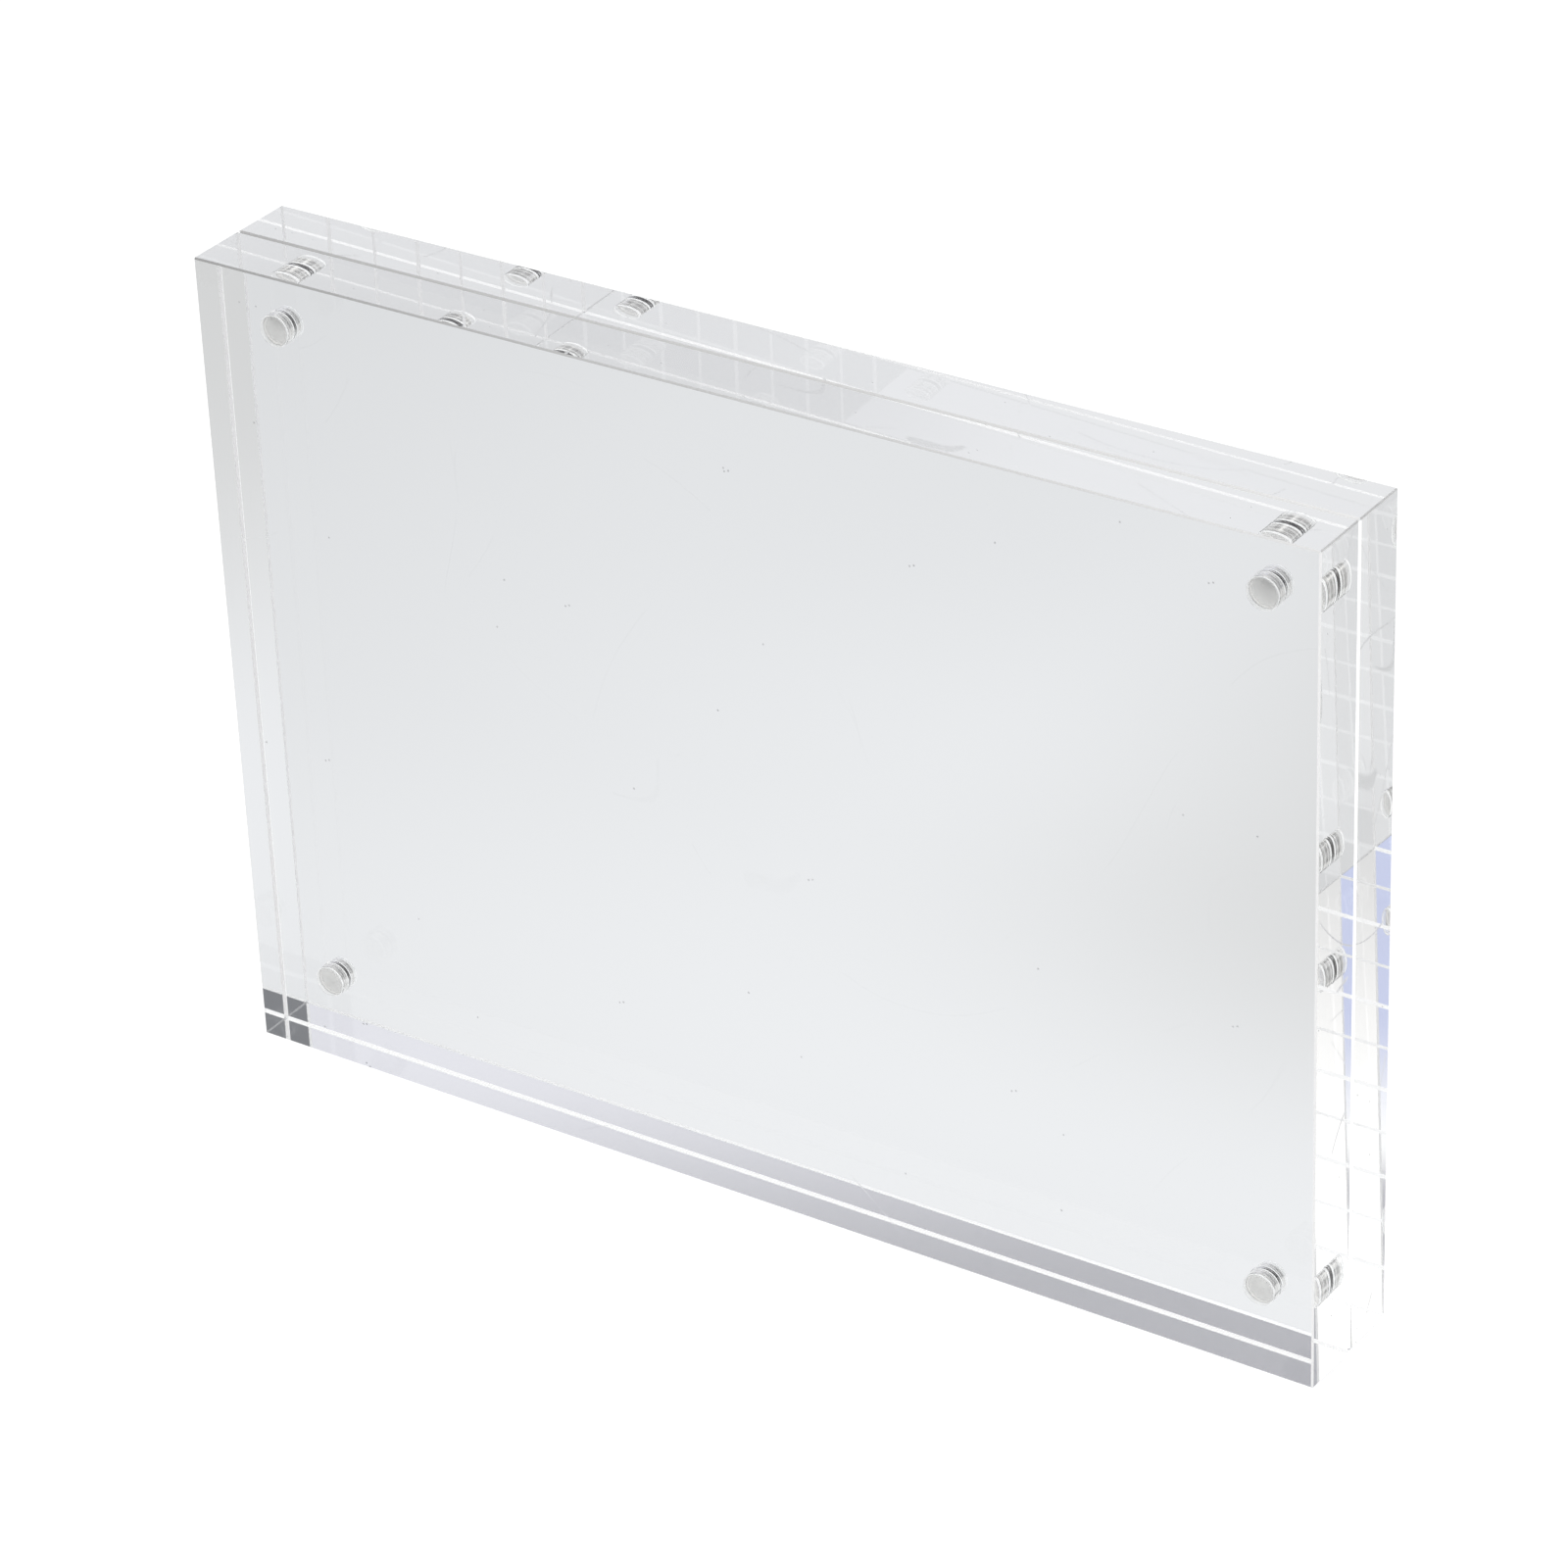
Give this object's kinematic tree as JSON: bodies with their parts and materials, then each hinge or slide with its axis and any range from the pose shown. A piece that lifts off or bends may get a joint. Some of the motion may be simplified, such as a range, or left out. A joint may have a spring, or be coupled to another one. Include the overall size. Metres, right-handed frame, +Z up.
{
  "type": "acrylic block frame",
  "caption": "Clear block photo frame: two thick acrylic blocks held face to face by corner magnets, with a print to lie between them.",
  "frame": {"origin": "centre of the base, in the plane where the two blocks part", "axes": "+X along the long side, to the right as seen from the front; +Y from the front block to the back block; +Z up"},
  "size_m": [0.178, 0.02, 0.127],
  "materials": {
    "clear_acrylic": "polished",
    "magnet_plating": "polished"
  },
  "bodies": {
    "back": {"back_block": "clear_acrylic", "magnet_back_top_left": "magnet_plating", "magnet_back_top_right": "magnet_plating", "magnet_back_bottom_left": "magnet_plating", "magnet_back_bottom_right": "magnet_plating"},
    "front": {"front_block": "clear_acrylic", "magnet_front_top_left": "magnet_plating", "magnet_front_top_right": "magnet_plating", "magnet_front_bottom_left": "magnet_plating", "magnet_front_bottom_right": "magnet_plating"}
  },
  "joints": [
    {"name": "front_pull", "type": "slide", "parent": "back", "child": "front", "axis": [0, -1, 0], "range_m": [0, 0.04]}
  ]
}
